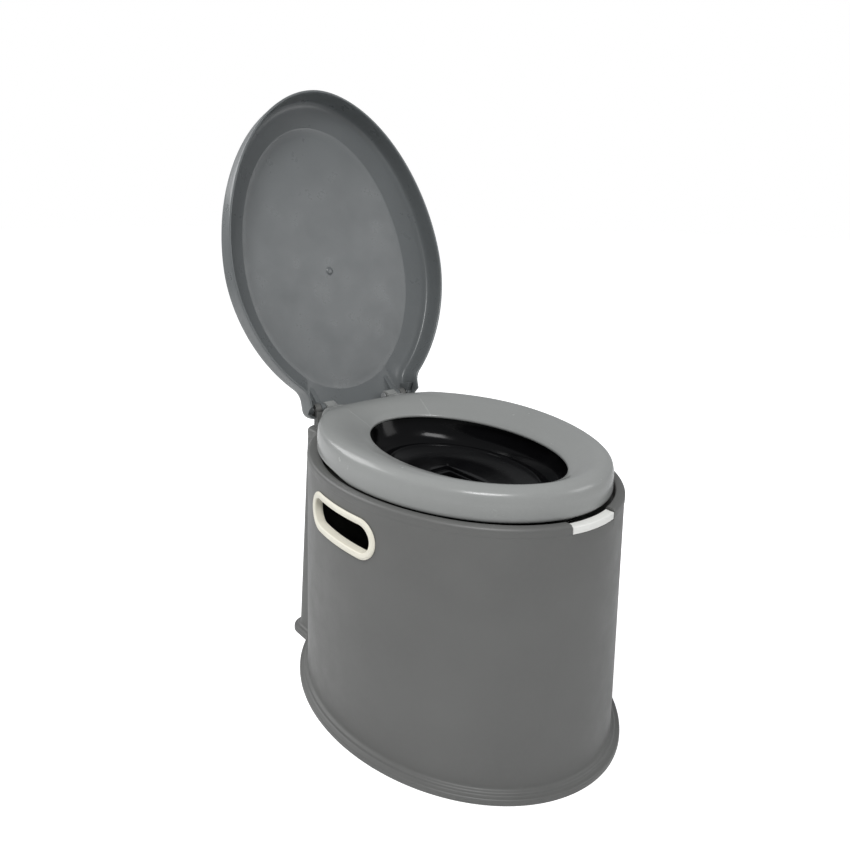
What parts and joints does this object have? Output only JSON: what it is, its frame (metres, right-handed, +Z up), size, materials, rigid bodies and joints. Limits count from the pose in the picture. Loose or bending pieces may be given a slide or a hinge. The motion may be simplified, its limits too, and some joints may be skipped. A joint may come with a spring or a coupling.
{
  "type": "cassette_toilet",
  "caption": "Portable camping toilet: oval flared shell with foot flange and side hand holes, hinged seat ring and lid, lift-out inner bucket with splash cover and fold-down grip",
  "frame": {"origin": "on the floor under the middle of the whole object's box, with the lid open", "axes": "+Z up, -Y is the front, +X is the user's left when seated facing the front"},
  "size_m": [0.3262, 0.5076, 0.6636],
  "materials": {
    "shell_grey": "moulded mid grey, fine grain",
    "seat_grey": "smooth moulded light grey",
    "lid_grey": "smooth moulded blue grey",
    "bucket_black": "glossy black",
    "trim_cream": "cream",
    "insert_white": "off-white",
    "bumper_rubber": "black rubber",
    "pin_steel": "plain steel"
  },
  "bodies": {
    "shell": {"outer_shell": "shell_grey", "hand_hole_trim_left": "trim_cream", "hand_hole_trim_right": "trim_cream", "front_notch_insert": "insert_white", "hinge_pin_left": "pin_steel", "hinge_pin_right": "pin_steel", "pin_retainer_left": "pin_steel", "pin_retainer_right": "pin_steel"},
    "bucket": {"inner_bucket": "bucket_black"},
    "cover": {"splash_cover": "bucket_black", "cover_seal": "bumper_rubber", "cover_grip_pin": "pin_steel"},
    "grip": {"cover_grip": "bucket_black"},
    "seat": {"seat_ring": "seat_grey", "seat_bumper_front_left": "bumper_rubber", "seat_bumper_front_right": "bumper_rubber", "seat_bumper_rear_left": "bumper_rubber", "seat_bumper_rear_right": "bumper_rubber"},
    "lid": {"lid": "lid_grey"}
  },
  "joints": [
    {"name": "lid_hinge", "type": "hinge", "parent": "shell", "child": "lid", "pos_m": [0, 0.1429, 0.3008], "axis": [-1, 0, 0], "range_deg": [-105.4, 0]},
    {"name": "seat_hinge", "type": "hinge", "parent": "shell", "child": "seat", "pos_m": [0, 0.1429, 0.3008], "axis": [-1, 0, 0], "range_deg": [0, 98]},
    {"name": "bucket_lift", "type": "slide", "parent": "shell", "child": "bucket", "axis": [0, 0, 1], "range_m": [0, 0.002]},
    {"name": "cover_lift", "type": "slide", "parent": "bucket", "child": "cover", "axis": [0, 0, 1], "range_m": [0, 0.1]},
    {"name": "grip_hinge", "type": "hinge", "parent": "cover", "child": "grip", "pos_m": [0, -0.0179, 0.2535], "axis": [-1, 0, 0], "range_deg": [0, 85]}
  ]
}
